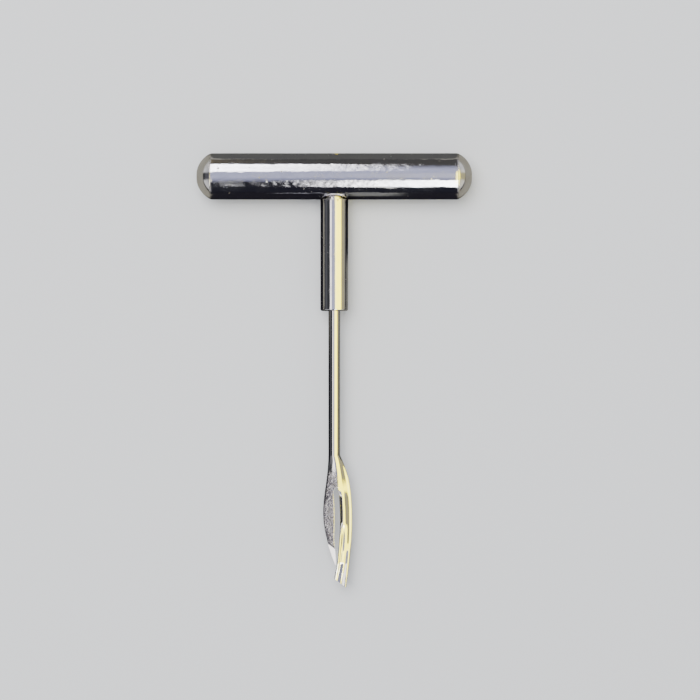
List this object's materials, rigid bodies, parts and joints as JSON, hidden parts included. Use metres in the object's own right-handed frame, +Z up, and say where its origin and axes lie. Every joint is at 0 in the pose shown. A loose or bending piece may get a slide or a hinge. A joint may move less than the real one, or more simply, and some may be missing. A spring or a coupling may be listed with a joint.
{
  "type": "tyre plug insertion tool",
  "caption": "T-handle hand tool with a tubular steel grip, a round stem collar and a removable split-eye needle held by a grub screw.",
  "frame": {"origin": "middle of the footprint of the tool lying flat, on the surface that it lies on", "axes": "+X along the handle, +Y from the needle's point towards the handle, +Z up, away from the grub screw"},
  "size_m": [0.0892, 0.1408, 0.015],
  "materials": {
    "handle_chrome": "bright plated, lightly scuffed",
    "cap_chrome": "bright plated",
    "collar_chrome": "bright plated, turned",
    "needle_chrome": "bright plated over a forged end",
    "screw_steel": "black oxide"
  },
  "bodies": {
    "handle": {"handle_tube": "handle_chrome", "left_end_cap": "cap_chrome", "right_end_cap": "cap_chrome", "stem_collar": "collar_chrome"},
    "needle": {"insertion_needle": "needle_chrome"},
    "grub_screw": {"grub_screw": "screw_steel"}
  },
  "joints": [
    {"name": "needle_slide", "type": "slide", "parent": "handle", "child": "needle", "axis": [0, -1, 0], "range_m": [0, 0.025]},
    {"name": "screw_out", "type": "slide", "parent": "handle", "child": "grub_screw", "axis": [0, 0, -1], "range_m": [0, 0.0024]}
  ]
}
